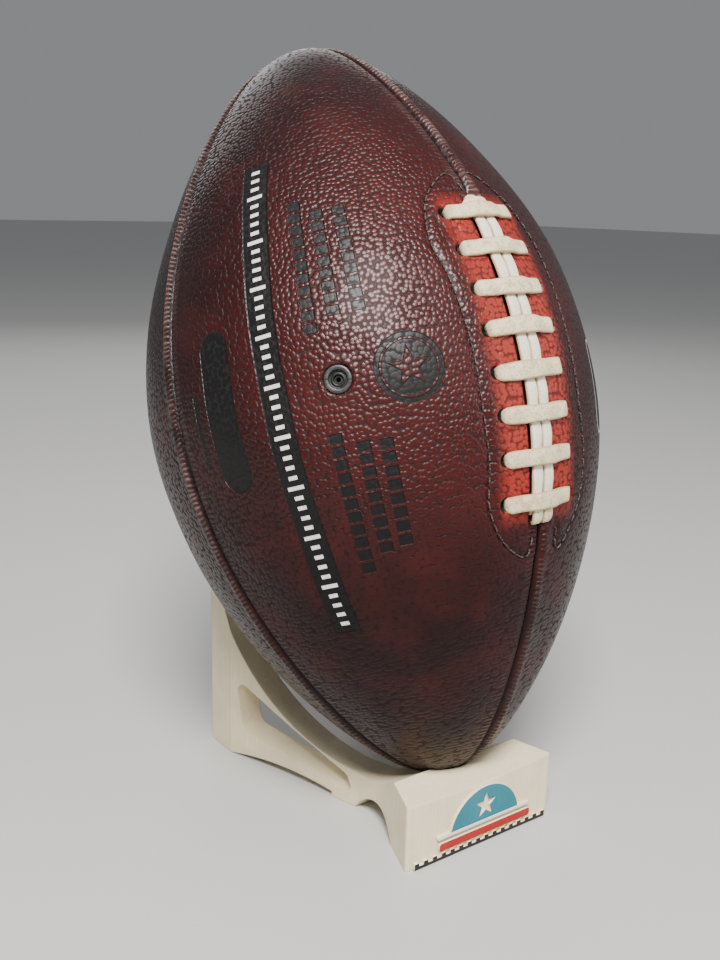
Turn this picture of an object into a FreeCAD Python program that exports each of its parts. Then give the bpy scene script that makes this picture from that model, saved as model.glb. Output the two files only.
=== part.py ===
# A laced leather football leaning in a one-piece printed display stand.
#
# Model frame: millimetres, +Z up, the front of the stand faces -Y.  The origin is on the ground,
# under the middle of the whole object.  The ball's pieces are drawn in the ball's own frame, with
# its long axis on Z and its laced seam just past -Y, and one shared placement tilts them back.
import FreeCAD, Part
import math
import os
from FreeCAD import Placement, Rotation, Vector

os.makedirs("parts", exist_ok=True)
doc = FreeCAD.newDocument("football_and_stand")

# ---------------------------------------------------------------- driving dimensions
DIMENSIONS = {
    "ball_length": 286,
    "ball_diameter": 171,
    "ball_taper": 0.31,
    "tip_angle": 0.6,
    "ball_tilt": 22,
    "ball_roll": 2.2,
    "ball_back": 74,
    "ball_height": 153,
    "leather_thickness": 2,
    "lining_thickness": 0.8,
    "bladder_thickness": 0.6,
    "panel_angle": 90,
    "seam_angle": 1,
    "seam_reach": 126,
    "facing_angle": 15,
    "facing_reach": 60,
    "facing_clearance": 0.05,
    "bar_count": 8,
    "bar_pitch": 14.1,
    "bar_width": 5.6,
    "bar_reach": 14.6,
    "bar_height": 2.6,
    "lace_hole_radius": 2,
    "lace_leg_radius": 1.8,
    "lace_leg_depth": 1.8,
    "lace_hole_reach": 12.4,
    "strand_angle": 3.1,
    "strand_split": 0.3,
    "strand_height": 1.5,
    "strand_reach": 55.5,
    "stitch_length": 2.6,
    "stitch_width": 0.7,
    "stitch_height": 0.35,
    "stitch_pitch": 4.2,
    "valve_azimuth": 45,
    "valve_below": 0.3,
    "valve_radius": 4.7,
    "valve_depth": 14,
    "valve_clearance": 0.05,
    "valve_sink": 0.1,
    "valve_recess_radius": 3.1,
    "valve_recess_depth": 1,
    "valve_eye_radius": 1.4,
    "valve_eye_depth": 0.8,
    "valve_edge": 0.5,
    "flange_radius": 10,
    "flange_top": 4.6,
    "flange_thickness": 1.2,
    "stem_radius": 4.2,
    "core_radius": 2.5,
    "core_length": 11,
    "needle_radius": 0.8,
    "needle_depth": 4,
    "stand_front": -72.9,
    "front_width": 71.4,
    "block_height": 30,
    "arm_angle": 16.1,
    "arm_thickness": 12,
    "arm_foot_back": 45.1,
    "arm_foot_side": 24.6,
    "stand_half_width": 43.3,
    "stand_depth": 126.2,
    "arm_top_radius": 85,
    "waist_radius": 40,
    "notch_radius": 8,
    "notch_back": 37.5,
    "seat_clearance": 0.3,
    "block_lean": 20.8,
    "block_corner_radius": 1,
    "window_reach": 60,
    "emblem_height": 1.4,
    "emblem_recess": 0.7,
}

sheet = doc.addObject("Spreadsheet::Sheet", "Dimensions")
for row, (alias, value) in enumerate(DIMENSIONS.items(), start=1):
    sheet.set(f"A{row}", alias)
    sheet.set(f"B{row}", str(value))
    sheet.setAlias(f"B{row}", alias)
doc.recompute()


def dim(alias):
    """The value of one driving dimension."""
    return float(sheet.get(alias))


def bind(feature, **formulas):
    """Ties properties of a feature to the sheet; # in a formula stands for the sheet's name."""
    for name, formula in formulas.items():
        feature.setExpression(name.replace("__", "."), formula.replace("#", "Dimensions."))


def check(condition, message):
    if not condition:
        raise RuntimeError(message)


nodes = {}


def add_node(name, feature):
    """Gives a finished sub-part its name, which is also its file's name."""
    feature.Label = name
    nodes[name] = feature
    return feature


# ---------------------------------------------------------------- the ball's shape
def ball_radius(z, inset=0.0):
    """Radius of the ball, or of a layer inset from its surface, at height z on its long axis."""
    along = z / (dim("ball_length") / 2 - inset)
    blunt = math.sqrt(max(0.0, 1 - along * along))
    return (dim("ball_diameter") / 2 - inset) * blunt * (1 - dim("ball_taper") * along * along)


def meridian(inset, last=0.0, steps=16):
    """Spline up a layer's outline in the XZ plane, stopping at an angle of last from each tip."""
    half_length = dim("ball_length") / 2 - inset
    angles = [math.pi - last - (math.pi - 2 * last) * i / steps for i in range(steps + 1)]
    heights = [half_length * math.cos(angle) for angle in angles]
    points = [Vector(ball_radius(z, inset), 0, z) for z in heights]
    curve = Part.BSplineCurve()
    if last == 0.0:
        curve.interpolate(Points=points, InitialTangent=Vector(1, 0, 0), FinalTangent=Vector(-1, 0, 0))
    else:
        curve.interpolate(Points=points)
    return curve


def layer_face(name, outer_inset, inner_inset, reach=None):
    """Section of one layer of the ball, up to a pinhole at each tip or cut off at a height."""
    half_length = dim("ball_length") / 2
    last = math.radians(dim("tip_angle")) if reach is None else math.acos(reach / half_length)
    outer = meridian(outer_inset, last)
    inner = meridian(inner_inset, last)
    edges = [
        outer.toShape(),
        Part.LineSegment(outer.EndPoint, inner.EndPoint).toShape(),
        inner.toShape(),
        Part.LineSegment(inner.StartPoint, outer.StartPoint).toShape(),
    ]
    face = doc.addObject("Part::Feature", name)
    face.Shape = Part.Face(Part.Wire(Part.__sortEdges__(edges)))
    return face


def full_face(name, inset):
    """Half of the ball's section inside one layer, with a small flat at each tip."""
    curve = meridian(inset, math.radians(dim("tip_angle")))
    top = Vector(0, 0, curve.EndPoint.z)
    low = Vector(0, 0, curve.StartPoint.z)
    edges = [
        curve.toShape(),
        Part.LineSegment(curve.EndPoint, top).toShape(),
        Part.LineSegment(top, low).toShape(),
        Part.LineSegment(low, curve.StartPoint).toShape(),
    ]
    face = doc.addObject("Part::Feature", name)
    face.Shape = Part.Face(Part.Wire(edges))
    return face


def turned(name, face, start, angle_formula):
    """Turns a section about the long axis; the laced seam is at a start of 270 degrees."""
    section = doc.addObject("Part::Feature", name + "_section")
    section.Shape = face.Shape
    section.Placement = Placement(Vector(), Rotation(Vector(0, 0, 1), start + dim("ball_roll")))
    turn = doc.addObject("Part::Revolution", name)
    turn.Source = section
    turn.Axis = Vector(0, 0, 1)
    turn.Base = Vector(0, 0, 0)
    bind(turn, Angle=angle_formula)
    return turn


def as_splines(name, feature):
    """Copy of a turned solid on spline surfaces, in which small round holes are cut exactly."""
    doc.recompute()
    solid = doc.addObject("Part::Feature", name)
    solid.Shape = feature.Shape.toNurbs()
    return solid


def cut(name, base, tool):
    """Takes one feature's shape away from another's, with no tolerance added."""
    doc.recompute()
    result = doc.addObject("Part::Feature", name)
    result.Shape = base.Shape.cut(tool.Shape)
    taken = base.Shape.Volume - result.Shape.Volume
    check(0 < taken < tool.Shape.Volume + 1, f"{name} took {taken:.1f} cubic mm away")
    return result


def compound(name, features):
    result = doc.addObject("Part::Compound", name)
    result.Links = features
    return result


def fused(name, features):
    result = doc.addObject("Part::MultiFuse", name)
    result.Shapes = features
    return result


def place_on_ball(feature):
    """Puts a piece that is drawn in the ball's frame on the stand, leaning back."""
    feature.Placement = Placement(Vector(), Rotation(Vector(-1, 0, 0), dim("ball_tilt")))
    feature.setExpression("Placement.Base.y", "Dimensions.stand_front + Dimensions.ball_back")
    feature.setExpression("Placement.Base.z", "Dimensions.ball_height")
    feature.setExpression("Placement.Rotation.Angle", "Dimensions.ball_tilt")
    return feature


def outward_at(azimuth):
    """Direction out of the long axis; azimuth is in degrees from the laced seam."""
    angle = math.radians(azimuth + dim("ball_roll"))
    return Vector(math.sin(angle), -math.cos(angle), 0)


def radial_placement(azimuth, z, distance):
    """Placement whose Z points straight out of the long axis."""
    outward = outward_at(azimuth)
    return Placement(outward * distance + Vector(0, 0, z), Rotation(Vector(0, 0, 1), outward))


LEATHER_IN = dim("leather_thickness")
LINING_IN = LEATHER_IN + dim("lining_thickness")
BLADDER_IN = LINING_IN + dim("bladder_thickness")

# Start angle of each quarter; the laced seam is at 270 degrees.
QUARTERS = {"front_left": 180, "front_right": 270, "rear_right": 0, "rear_left": 90}


def peg(name, azimuth, z, radius_alias, length, distance):
    """Cylinder on a radial line of the ball."""
    cylinder = doc.addObject("Part::Cylinder", name)
    bind(cylinder, Radius="#" + radius_alias)
    cylinder.Height = length
    cylinder.Placement = radial_placement(azimuth, z, distance)
    return cylinder


def lace_rows():
    """Heights of the lace's cross bars on the long axis."""
    count = int(dim("bar_count"))
    return [dim("bar_pitch") * (i - (count - 1) / 2) for i in range(count)]


def lace_pegs(prefix, side, radius_alias, depth, proud):
    """One peg through the cover for each cross bar, on one side of the laced seam."""
    pegs = []
    for i, z in enumerate(lace_rows()):
        azimuth = side * math.degrees(dim("lace_hole_reach") / ball_radius(z))
        start = ball_radius(z) - depth
        pegs.append(peg(f"{prefix}_{i}", azimuth, z, radius_alias, depth + proud, start))
    return pegs


# ---------------------------------------------------------------- cover, lining and facings
def build_covers():
    leather_face = layer_face("leather_section", 0, LEATHER_IN)
    lining_face = layer_face("lining_section", LEATHER_IN, LINING_IN)
    facing_out = LEATHER_IN + dim("facing_clearance")
    facing_face = layer_face("facing_section", facing_out, LINING_IN, dim("facing_reach"))
    slot_face = layer_face("facing_slot_section", LEATHER_IN - 1, LINING_IN + 1, dim("facing_reach"))
    seam_face = layer_face("seam_section", LEATHER_IN, LINING_IN, dim("seam_reach"))
    valve_z = -dim("valve_below")
    valve_hole = peg("valve_hole", -dim("valve_azimuth"), valve_z, "valve_radius", 20,
                     ball_radius(valve_z) - 15)
    half_seam = dim("seam_angle") / 2
    slot_start = {"front_left": 270 - half_seam - dim("facing_angle"), "front_right": 270}
    for quarter, start in QUARTERS.items():
        panel = turned(f"panel_{quarter}", leather_face, start, "#panel_angle")
        lining = turned(f"liner_{quarter}", lining_face, start + half_seam, "#panel_angle - #seam_angle")
        if quarter in slot_start:
            side = -1 if quarter == "front_left" else 1
            holes = lace_pegs(f"hole_{quarter}", side, "lace_hole_radius", LINING_IN + 2, 3)
            tool = compound(f"holes_{quarter}", holes)
            panel = cut(f"holed_{quarter}", as_splines(f"cover_{quarter}", panel), tool)
            name = "lace_facing_" + quarter.split("_")[1]
            slot = turned(name + "_slot", slot_face, slot_start[quarter],
                          "#facing_angle + #seam_angle / 2")
            lining = cut(f"lined_{quarter}", lining, slot)
            facing_start = slot_start[quarter] + (half_seam if side > 0 else 0)
            blank = turned(name + "_blank", facing_face, facing_start, "#facing_angle")
            if quarter == "front_left":
                panel = cut("panel_with_valve", panel, valve_hole)
                lining = cut("lining_with_valve", lining, valve_hole)
            facing = cut(name + "_holed", blank, tool)
            add_node(name, place_on_ball(facing))
        add_node(f"leather_panel_{quarter}", place_on_ball(panel))
        add_node(f"lining_{quarter}", place_on_ball(lining))
    seams = [turned(f"seam_{start}", seam_face, start - half_seam, "#seam_angle")
             for start in QUARTERS.values()]
    add_node("seam_threads", place_on_ball(compound("seams", seams)))
    outside = turned("bladder_outside", full_face("bladder_outer_section", LINING_IN), 0, "360")
    inside = turned("bladder_inside", full_face("bladder_inner_section", BLADDER_IN), 0, "360")
    shell = cut("bladder_shell", outside, inside)
    add_node("bladder", place_on_ball(cut("bladder_holed", shell, valve_hole)))


# ---------------------------------------------------------------- lace
def build_lace():
    """Cross bars and a double strand under them, with legs down through the lace holes."""
    pieces = []
    half_width = dim("bar_width") / 2
    low, high = 0.1, dim("bar_height")
    for i, z in enumerate(lace_rows()):
        corners = []
        for height, edge in ((low, -1), (low, 1), (high, 1), (high, -1)):
            level = z + edge * half_width
            corners.append(Vector(ball_radius(level) + height, 0, level))
        section = doc.addObject("Part::Feature", f"bar_section_{i}")
        section.Shape = Part.Face(Part.makePolygon(corners + corners[:1]))
        half_angle = math.degrees(dim("bar_reach") / ball_radius(z))
        bar = turned(f"bar_{i}", section, 270 - half_angle, str(2 * half_angle))
        pieces.append(bar)
    for side in (-1, 1):
        pieces += lace_pegs(f"leg_{side}", side, "lace_leg_radius", dim("lace_leg_depth"), 1)
    strand = layer_face("strand_section", -dim("strand_height"), 0, dim("strand_reach"))
    for start in (270 + dim("strand_split") / 2, 270 - dim("strand_split") / 2 - dim("strand_angle")):
        pieces.append(turned(f"strand_{int(start)}", strand, start, "#strand_angle"))
    add_node("lace", place_on_ball(fused("lace_fused", pieces)))


# ---------------------------------------------------------------- facing stitches
# Half of the stitched outline round the laces: distance round the ball from the seam, then height.
STITCH_OUTLINE = [(2.2, 58), (4.5, 66), (11, 63), (17.5, 56), (22.8, 48), (25.3, 38), (23.4, 27), (22.3, 6),
                  (22, -19), (21.2, -35), (21, -48), (17, -58), (10.8, -64), (4.5, -66.5), (2.2, -58)]


def build_stitches():
    outline = Part.BSplineCurve()
    outline.interpolate(Points=[Vector(arc, z, 0) for arc, z in STITCH_OUTLINE])
    count = int(outline.length() / dim("stitch_pitch"))
    stitches = []
    for side in (-1, 1):
        for position in outline.discretize(Number=count):
            tangent = outline.tangent(outline.parameter(position))[0]
            stitches.append(one_stitch(side, position, tangent))
    feature = doc.addObject("Part::Feature", "stitches")
    feature.Shape = Part.makeCompound(stitches)
    add_node("facing_stitches", place_on_ball(feature))


def one_stitch(side, position, tangent):
    """Small flat block on the surface of the ball, lying along the stitched outline."""
    radius = ball_radius(position.y)
    slope = (ball_radius(position.y + 0.5) - ball_radius(position.y - 0.5))
    outward = outward_at(side * math.degrees(position.x / radius))
    around = Vector(0, 0, side).cross(outward)
    up = (outward * slope + Vector(0, 0, 1)).normalize()
    along = (around * tangent.x + up * tangent.y).normalize()
    normal = around.cross(up).normalize()
    if normal.dot(outward) < 0:
        normal = normal * -1
    across = normal.cross(along)
    block = Part.makeBox(dim("stitch_length"), dim("stitch_width"), dim("stitch_height"),
                         Vector(-dim("stitch_length") / 2, -dim("stitch_width") / 2, 0))
    turn = Rotation(along, across, normal, "XYZ")
    block.Placement = Placement(outward * radius + Vector(0, 0, position.y), turn)
    return block


# ---------------------------------------------------------------- sketches
def new_body(name):
    return doc.addObject("PartDesign::Body", name)


def origin_plane(body, role):
    return next(part for part in body.Origin.OriginFeatures if part.Role == role)


def add_sketch(body, role, name, edges, offset=None):
    """Sketch on one of the body's own origin planes, with its ends joined."""
    sketch = body.newObject("Sketcher::SketchObject", name)
    sketch.AttachmentSupport = [(origin_plane(body, role), "")]
    sketch.MapMode = "FlatFace"
    if offset is not None:
        sketch.AttachmentOffset = offset
    sketch.addGeometry(edges, False)
    if sketch.detectMissingPointOnPointConstraints(1e-5):
        sketch.makeMissingPointOnPointCoincident()
    doc.recompute()
    return sketch


def rounded(corners):
    """Edges of a closed outline of (x, y, corner radius) entries, in order."""
    count = len(corners)
    points = [Vector(x, y, 0) for x, y, radius in corners]
    starts, ends, arcs = [], [], []
    for i, (x, y, radius) in enumerate(corners):
        here = points[i]
        back = (points[i - 1] - here).normalize()
        ahead = (points[(i + 1) % count] - here).normalize()
        half = back.getAngle(ahead) / 2
        trim = radius / math.tan(half)
        starts.append(here + back * trim)
        ends.append(here + ahead * trim)
        if radius > 0:
            middle = (back + ahead).normalize()
            nearest = here + middle * (radius / math.sin(half) - radius)
            arcs.append(Part.Arc(starts[i], nearest, ends[i]))
        else:
            arcs.append(None)
    edges = []
    for i in range(count):
        if arcs[i] is not None:
            edges.append(arcs[i])
        edges.append(Part.LineSegment(ends[i], starts[(i + 1) % count]))
    return edges


def pad(body, sketch, name, length_formula, reverse=False):
    feature = body.newObject("PartDesign::Pad", name)
    feature.Profile = sketch
    feature.Reversed = reverse
    bind(feature, Length=length_formula)
    doc.recompute()
    return feature


def pocket(body, sketch, name, length_formula, both_sides=False, reverse=False):
    """Pocket that has to take some material away."""
    before = body.Shape.Volume
    feature = body.newObject("PartDesign::Pocket", name)
    feature.Profile = sketch
    feature.Midplane = both_sides
    feature.Reversed = reverse
    bind(feature, Length=length_formula)
    doc.recompute()
    check(body.Shape.Volume < before - 0.01, f"{name} takes nothing away")
    return feature


def mirror(body, features, name):
    feature = body.newObject("PartDesign::Mirrored", name)
    feature.Originals = features
    feature.MirrorPlane = (origin_plane(body, "YZ_Plane"), [""])
    body.Tip = feature
    doc.recompute()
    return feature


# ---------------------------------------------------------------- valve
def turned_body(name, outline):
    """Body of revolution from a closed (radius, height) outline."""
    body = new_body(name)
    points = [Vector(radius, height, 0) for radius, height in outline]
    edges = [Part.LineSegment(points[i], points[(i + 1) % len(points)]) for i in range(len(points))]
    sketch = add_sketch(body, "XZ_Plane", name + "_outline", edges)
    feature = body.newObject("PartDesign::Revolution", name + "_turned")
    feature.Profile = sketch
    feature.ReferenceAxis = (sketch, ["V_Axis"])
    feature.Angle = 360
    doc.recompute()
    return body


def build_valve():
    """Moulded rubber valve bonded in the cover, and the self-sealing core that it holds."""
    outer = dim("valve_radius") - dim("valve_clearance")
    bore = dim("core_radius")
    recess = dim("valve_recess_radius")
    eye = dim("valve_eye_radius")
    edge = dim("valve_edge")
    flange = dim("flange_radius")
    stem = dim("stem_radius")
    floor = -dim("valve_recess_depth")
    core_top = floor - dim("valve_eye_depth")
    depth = -dim("valve_depth")
    flange_top = -dim("flange_top")
    flange_low = flange_top - dim("flange_thickness")
    body_outline = [(recess, 0), (outer - edge, 0), (outer, -edge), (outer, flange_top), (flange, flange_top),
                    (flange, flange_low), (stem, flange_low - 1), (stem, depth), (bore, depth),
                    (bore, core_top), (eye, core_top), (eye, floor), (recess, floor)]
    valve_body = turned_body("valve_housing", body_outline)
    needle = dim("needle_radius")
    needle_floor = core_top - dim("needle_depth")
    core_low = core_top - dim("core_length")
    core_outline = [(0, needle_floor), (needle, needle_floor), (needle, core_top), (bore, core_top),
                    (bore, core_low + 1), (bore - 1, core_low), (0, core_low)]
    valve_core = turned_body("valve_plug", core_outline)
    ball_place = Placement(Vector(0, dim("stand_front") + dim("ball_back"), dim("ball_height")),
                           Rotation(Vector(-1, 0, 0), dim("ball_tilt")))
    valve_z = -dim("valve_below")
    valve_place = radial_placement(-dim("valve_azimuth"), valve_z, ball_radius(valve_z) - dim("valve_sink"))
    for name, body in (("valve_body", valve_body), ("valve_core", valve_core)):
        body.Placement = ball_place.multiply(valve_place)
        add_node(name, body)


# ---------------------------------------------------------------- stand
ARM_TURN = math.radians(dim("arm_angle"))
ARM_ALONG = Vector(-math.sin(ARM_TURN), math.cos(ARM_TURN), 0)
ARM_INWARD = Vector(math.cos(ARM_TURN), math.sin(ARM_TURN), 0)
ARM_FOOT = Vector(-dim("arm_foot_side"), dim("arm_foot_back"), 0)


def arm_point(along, inward):
    """Plan position on the left arm, from its middle foot."""
    return ARM_FOOT + ARM_ALONG * along + ARM_INWARD * inward


def waist_corner():
    """Where the front block's slanted side meets the outer plane of the left arm."""
    lean = math.tan(math.radians(dim("block_lean")))
    arm_lean = math.tan(ARM_TURN)
    front = Vector(-dim("front_width") / 2, 0, 0)
    back = (-ARM_FOOT.x - arm_lean * ARM_FOOT.y - dim("front_width") / 2) / -(lean + arm_lean)
    return front + Vector(lean * back, back, 0)


def block_plan():
    """Plan of the front block: slanted sides, hollow waist and a round notch between the arms."""
    into_arm = 12.0
    waist = waist_corner()
    outer = arm_point(into_arm, 0)
    inner = arm_point(into_arm, dim("arm_thickness"))
    notch = Vector(0, dim("notch_back"), 0)
    touch = notch - ARM_INWARD * dim("notch_radius")
    side = [Vector(-dim("front_width") / 2, 0, 0), waist, outer, inner, touch]
    corner_radius = [dim("block_corner_radius"), dim("waist_radius"), 0, 0, 0]
    left = [(p.x, p.y, r) for p, r in zip(side, corner_radius)]
    right = [(-x, y, r) for x, y, r in reversed(left)]
    edges = rounded(left + right)
    bridge = next(i for i, edge in enumerate(edges)
                  if abs(edge.StartPoint.x - touch.x) < 1e-6 and abs(edge.EndPoint.x + touch.x) < 1e-6)
    bottom = notch - Vector(0, dim("notch_radius"), 0)
    edges[bridge] = Part.Arc(edges[bridge].StartPoint, bottom, edges[bridge].EndPoint)
    return edges


def closed(*points):
    return [Part.LineSegment(Vector(*points[i], 0), Vector(*points[(i + 1) % len(points)], 0))
            for i in range(len(points))]


def chain(*steps):
    """Closed outline; a step of three points is an arc through the middle one, two points a line."""
    edges = []
    for step in steps:
        points = [Vector(x, y, 0) for x, y in step]
        edges.append(Part.Arc(*points) if len(points) == 3 else Part.LineSegment(*points))
    return edges


def arm_outline():
    """Side view of an arm: a curved hollow top that rises to the back, and a shallow arch below."""
    radius = dim("arm_top_radius")
    centre_along, centre_height = -5.0, 100.0
    on_arc = math.radians(45)
    arc_middle = (centre_along + radius * math.sin(on_arc), centre_height - radius * math.cos(on_arc))
    arc_low = (centre_along, centre_height - radius)
    arc_high = (centre_along + radius, centre_height)
    front, back = -12.0, 90.0
    arch_start, arch_end, arch_rise = 0.0, 67.4, 3.8
    return chain(
        [(front, 0), (arch_start, 0)],
        [(arch_start, 0), ((arch_start + arch_end) / 2, arch_rise), (arch_end, 0)],
        [(arch_end, 0), (back, 0)],
        [(back, 0), (back, centre_height)],
        [(back, centre_height), arc_high],
        [arc_high, arc_middle, arc_low],
        [arc_low, (front, arc_low[1])],
        [(front, arc_low[1]), (front, 0)],
    )


# Corners of the window in an arm's side view, along the arm, height, and corner radius.
WINDOW = [(64.5, 35.5, 3.5), (60.5, 12.2, 5), (1.5, 5.2, 2.2), (4.6, 12.4, 2), (33, 22.6, 60)]


def build_stand():
    body = new_body("display_stand")
    plan = add_sketch(body, "XY_Plane", "block_plan", block_plan())
    pad(body, plan, "block", "#block_height")

    above, front_height, side_height, sag_height, sag_lean = 50.0, 24.9, 25.7, 23.9, 5.9
    ridge_back, ridge_height = 14.6, 27.0
    slope_back, slope_height = 28.6, 18.7
    waist_back, waist_height, past_back = 40.0, 15.0, 80.0
    top = add_sketch(body, "YZ_Plane", "block_top_profile", chain(
        [(-5, front_height), (ridge_back, ridge_height)],
        [(ridge_back, ridge_height), (slope_back, slope_height), (waist_back, waist_height)],
        [(waist_back, waist_height), (past_back, waist_height)],
        [(past_back, waist_height), (past_back, above)],
        [(past_back, above), (-5, above)],
        [(-5, above), (-5, front_height)],
    ))
    pocket(body, top, "block_top", "100", both_sides=True)

    past_side = 40.0
    sag_turn = Placement(Vector(), Rotation(Vector(1, 0, 0), sag_lean))
    sag = add_sketch(body, "XZ_Plane", "front_edge_sag", chain(
        [(-past_side, side_height), (0, sag_height), (past_side, side_height)],
        [(past_side, side_height), (past_side, above)],
        [(past_side, above), (-past_side, above)],
        [(-past_side, above), (-past_side, side_height)],
    ), sag_turn)
    pocket(body, sag, "front_edge_hollow", "40", both_sides=True)

    arm_offset = Placement(Vector(ARM_FOOT.y, 0, ARM_FOOT.x), Rotation(Vector(0, 1, 0), dim("arm_angle")))
    arm_sketch = add_sketch(body, "YZ_Plane", "arm_profile", arm_outline(), arm_offset)
    arm = pad(body, arm_sketch, "left_arm", "#arm_thickness")
    mirror(body, [arm], "both_arms")

    window_sketch = add_sketch(body, "YZ_Plane", "window_outline", rounded(WINDOW), arm_offset)
    window = pocket(body, window_sketch, "left_window", "#window_reach", both_sides=True)
    mirror(body, [window], "both_windows")

    half_width, depth = dim("stand_half_width"), dim("stand_depth")
    outside = closed((-90, -30), (90, -30), (90, 200), (-90, 200))
    inside = closed((-half_width, -20), (half_width, -20), (half_width, depth), (-half_width, depth))
    trim = add_sketch(body, "XY_Plane", "trim_outline", outside + inside)
    pocket(body, trim, "back_and_sides", "300", both_sides=True)

    arch_front, arch_back, arch_height, below = 16.4, dim("arm_foot_back"), 8.3, -5.0
    arch = add_sketch(body, "YZ_Plane", "arch_profile", chain(
        [(arch_front, 0), ((arch_front + arch_back) / 2, arch_height), (arch_back, 0)],
        [(arch_back, 0), (arch_back, below)],
        [(arch_back, below), (arch_front, below)],
        [(arch_front, below), (arch_front, 0)],
    ))
    pocket(body, arch, "waist_arch", "100", both_sides=True)

    seat_curve = meridian(-dim("seat_clearance"))
    flat = [Vector(pole.x, pole.z, 0) for pole in seat_curve.getPoles()]
    section = Part.BSplineCurve()
    section.buildFromPolesMultsKnots(flat, seat_curve.getMultiplicities(), seat_curve.getKnots(),
                                     False, seat_curve.Degree)
    axis = Part.LineSegment(section.EndPoint, section.StartPoint)
    seat_offset = Placement(Vector(dim("ball_back"), dim("ball_height"), 0),
                            Rotation(Vector(0, 0, 1), -dim("ball_tilt")))
    seat_sketch = add_sketch(body, "YZ_Plane", "seat_section", [section, axis], seat_offset)
    before = body.Shape.Volume
    seat = body.newObject("PartDesign::Groove", "ball_seat")
    seat.Profile = seat_sketch
    seat.ReferenceAxis = (seat_sketch, ["V_Axis"])
    seat.Angle = 360
    doc.recompute()
    check(body.Shape.Volume < before - 100, "the seat takes nothing away")
    bind(body, Placement__Base__y="#stand_front")
    add_node("stand", body)


# ---------------------------------------------------------------- emblem
def emblem_piece(name, edges, recess_edges=None):
    """Flat coloured piece on the front face of the stand, with an optional sunk figure."""
    body = new_body(name + "_relief")
    sketch = add_sketch(body, "XZ_Plane", name + "_outline", edges)
    pad(body, sketch, name + "_pad", "#emblem_height")
    if recess_edges is not None:
        offset = Placement(Vector(0, 0, dim("emblem_height")), Rotation())
        figure = add_sketch(body, "XZ_Plane", name + "_figure", recess_edges, offset)
        pocket(body, figure, name + "_recess", "#emblem_recess")
    bind(body, Placement__Base__y="#stand_front")
    add_node(name, body)


def slab(left, right, low, high, radius):
    """Rectangle with rounded corners."""
    corners = [(left, low), (right, low), (right, high), (left, high)]
    return rounded([(x, z, radius) for x, z in corners])


def star_edges(x, z, outer, inner):
    """Five-pointed star."""
    points = []
    for i in range(10):
        radius = outer if i % 2 == 0 else inner
        angle = math.pi / 2 + i * math.pi / 5
        points.append((x + radius * math.cos(angle), z + radius * math.sin(angle)))
    return closed(*points)


def build_emblem():
    """Plain arched medallion with a star, on a plinth, over a red bar and a toothed black strip."""
    middle, arch_radius, arch_base, arch_top = 0.8, 16.6, 9.9, 23.4
    star_height, star_outer, star_inner = 15.8, 5.2, 2.1
    fan = chain(
        [(middle - arch_radius, arch_base), (middle, arch_top), (middle + arch_radius, arch_base)],
        [(middle + arch_radius, arch_base), (middle - arch_radius, arch_base)],
    )
    emblem_piece("emblem_medallion", fan, star_edges(middle, star_height, star_outer, star_inner))
    emblem_piece("emblem_plinth", slab(-22, 23.6, 8.4, arch_base, 0.5))
    emblem_piece("emblem_bar", slab(-21, 24, 3.8, 6.8, 1.0))
    teeth, left, right, low, gap_top, top = 16, -32.4, 32.4, 0.4, 1.6, 2.8
    pitch = (right - left) / (2 * teeth - 1)
    comb = [(left, low), (right, low)]
    for i in range(teeth):
        tooth_right = right - 2 * i * pitch
        comb += [(tooth_right, top), (tooth_right - pitch, top)]
        if i < teeth - 1:
            comb += [(tooth_right - pitch, gap_top), (tooth_right - 2 * pitch, gap_top)]
    emblem_piece("emblem_base_strip", closed(*comb))


# ---------------------------------------------------------------- build, check and export
build_stand()
build_emblem()
build_covers()
build_valve()
build_lace()
build_stitches()
doc.recompute()

for feature in doc.Objects:
    state = set(feature.State)
    check(not state & {"Invalid", "Error"}, f"{feature.Label} failed: {sorted(state)}")

for name, feature in nodes.items():
    shape = feature.Shape
    check(not shape.isNull() and shape.isValid(), f"{name} has no valid shape")
    check(len(shape.Solids) > 0, f"{name} has no solid")
    shape.exportStep(f"parts/{name}.step")
    print(f"{name:32s} solids {len(shape.Solids):3d}  volume {shape.Volume / 1000:9.2f} cm3")

whole = FreeCAD.BoundBox()
for feature in nodes.values():
    whole.add(feature.Shape.optimalBoundingBox())
print("whole object", whole)
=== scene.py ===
# Looks of a laced leather football leaning in a printed display stand.
# Objects are in metres in the model's frame; the ball's shapes are worked out in millimetres.
import math
import random
from functools import partialmethod

import bpy
import numpy as np
from mathutils import Matrix, Vector


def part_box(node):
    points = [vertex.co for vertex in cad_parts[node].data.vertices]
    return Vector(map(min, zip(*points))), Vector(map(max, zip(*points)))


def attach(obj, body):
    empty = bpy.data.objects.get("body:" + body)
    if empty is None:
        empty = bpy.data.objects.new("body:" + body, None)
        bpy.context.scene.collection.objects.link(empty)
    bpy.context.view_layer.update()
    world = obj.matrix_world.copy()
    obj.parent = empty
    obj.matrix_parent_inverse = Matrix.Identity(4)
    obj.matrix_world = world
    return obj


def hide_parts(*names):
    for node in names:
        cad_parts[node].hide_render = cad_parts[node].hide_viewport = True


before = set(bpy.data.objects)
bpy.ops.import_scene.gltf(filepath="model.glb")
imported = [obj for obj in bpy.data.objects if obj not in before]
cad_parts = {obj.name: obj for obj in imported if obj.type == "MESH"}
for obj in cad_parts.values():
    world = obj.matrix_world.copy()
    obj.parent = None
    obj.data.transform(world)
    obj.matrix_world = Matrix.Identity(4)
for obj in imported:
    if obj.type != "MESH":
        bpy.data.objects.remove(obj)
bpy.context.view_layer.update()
MM = 0.001

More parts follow.
